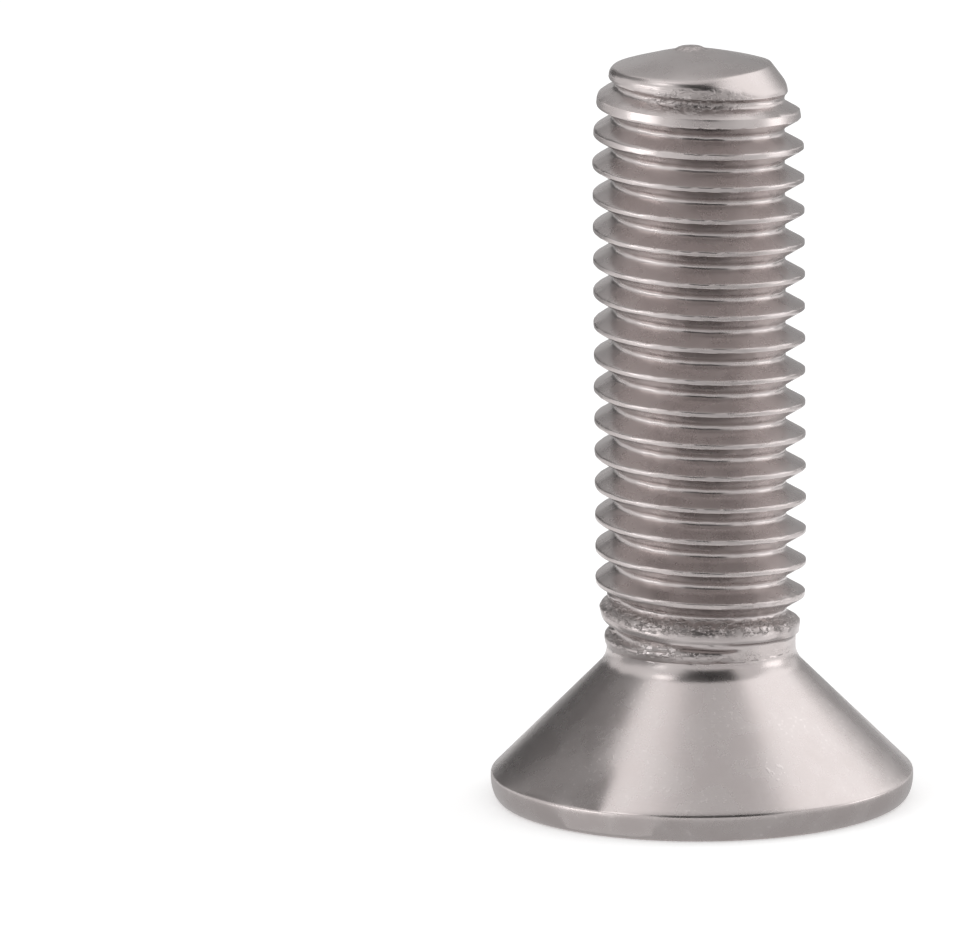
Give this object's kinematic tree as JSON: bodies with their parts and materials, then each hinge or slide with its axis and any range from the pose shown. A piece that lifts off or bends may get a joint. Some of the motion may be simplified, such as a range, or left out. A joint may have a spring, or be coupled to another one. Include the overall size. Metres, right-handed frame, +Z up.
{
  "type": "countersunk_screw",
  "caption": "Fully threaded countersunk screw in stainless steel with a hexagon socket in its flat head, standing on the head with the domed point up",
  "frame": {"origin": "centre of the head's flat face, which is the underside as the screw stands on its head", "axes": "+Z up along the screw's axis from the flat face to the domed point, -Y towards the camera, +X to the right of the picture"},
  "size_m": [0.0196, 0.0196, 0.035],
  "materials": {
    "stainless_steel": "bright, as rolled and cold formed"
  },
  "bodies": {
    "root": {"countersunk_screw": "stainless_steel"}
  },
  "joints": []
}
